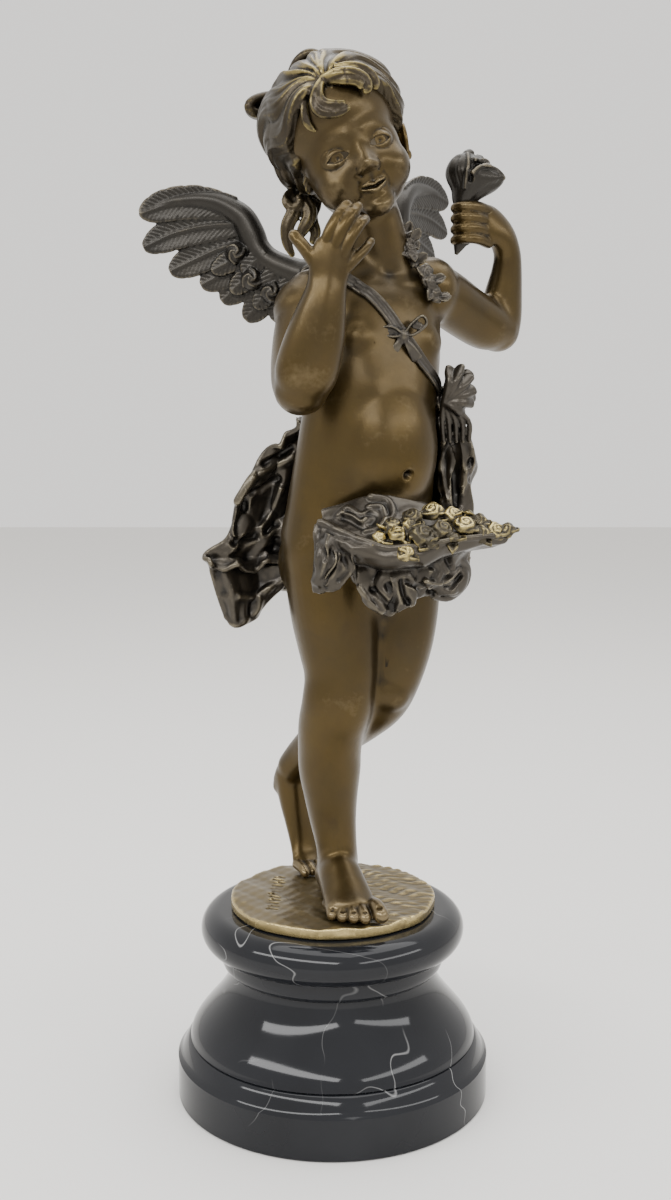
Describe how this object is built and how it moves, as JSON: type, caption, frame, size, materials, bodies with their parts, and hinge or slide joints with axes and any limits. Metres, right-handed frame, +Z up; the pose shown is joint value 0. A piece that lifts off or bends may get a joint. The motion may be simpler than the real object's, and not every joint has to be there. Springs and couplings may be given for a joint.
{
  "type": "cherub sculpture",
  "caption": "Bronze winged cherub striding on a round ground plate, blowing a kiss and holding a posy, with drapery full of flowers, on a turned black marble base.",
  "frame": {"origin": "centre of the marble base's underside", "axes": "+Z up, -Y towards the cherub's front view, +X to the viewer's right"},
  "size_m": [0.1603, 0.1552, 0.4246],
  "materials": {
    "patinated_bronze": "olive brown patina, satin, brassier on the worn high points",
    "black_marble": "polished black stone with fine white veins"
  },
  "bodies": {
    "root": {"bronze_cherub": "patinated_bronze", "marble_base": "black_marble"}
  },
  "joints": []
}
